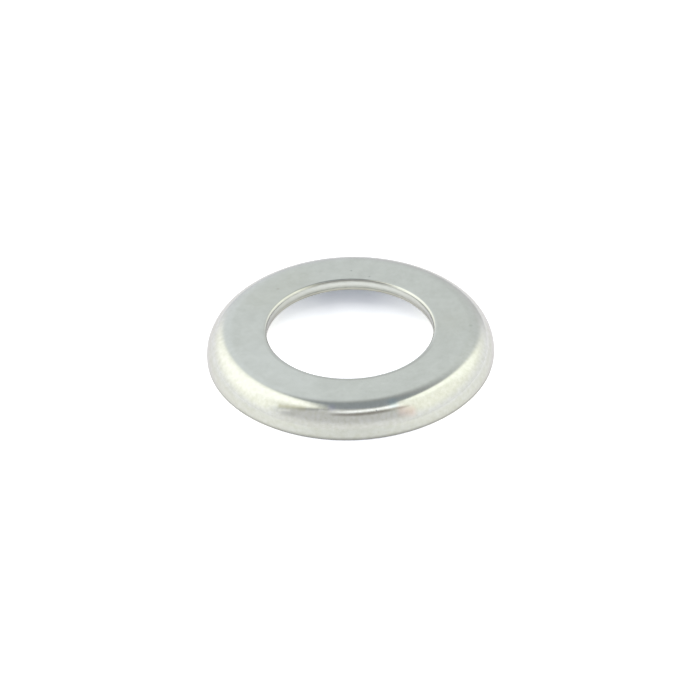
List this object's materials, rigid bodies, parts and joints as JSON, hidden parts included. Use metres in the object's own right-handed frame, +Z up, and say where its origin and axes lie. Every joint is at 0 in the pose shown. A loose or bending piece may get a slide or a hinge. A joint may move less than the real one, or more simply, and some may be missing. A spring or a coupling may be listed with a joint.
{
  "type": "cup washer",
  "caption": "Round cupped washer pressed from sheet steel, with a flat upper ring, a plain centre hole, a wide rounded shoulder and a short skirt, hollow underneath.",
  "frame": {"origin": "on the axis of the hole, at the foot of the skirt", "axes": "+Z up along the axis of the hole, out of the flat upper face; the part is round, so +X and +Y are any two square directions"},
  "size_m": [0.027, 0.027, 0.003],
  "materials": {
    "zinc_plate": "bright zinc plate with a clear passivate on drawn mild steel, satin"
  },
  "bodies": {
    "root": {"cup_washer": "zinc_plate"}
  },
  "joints": []
}
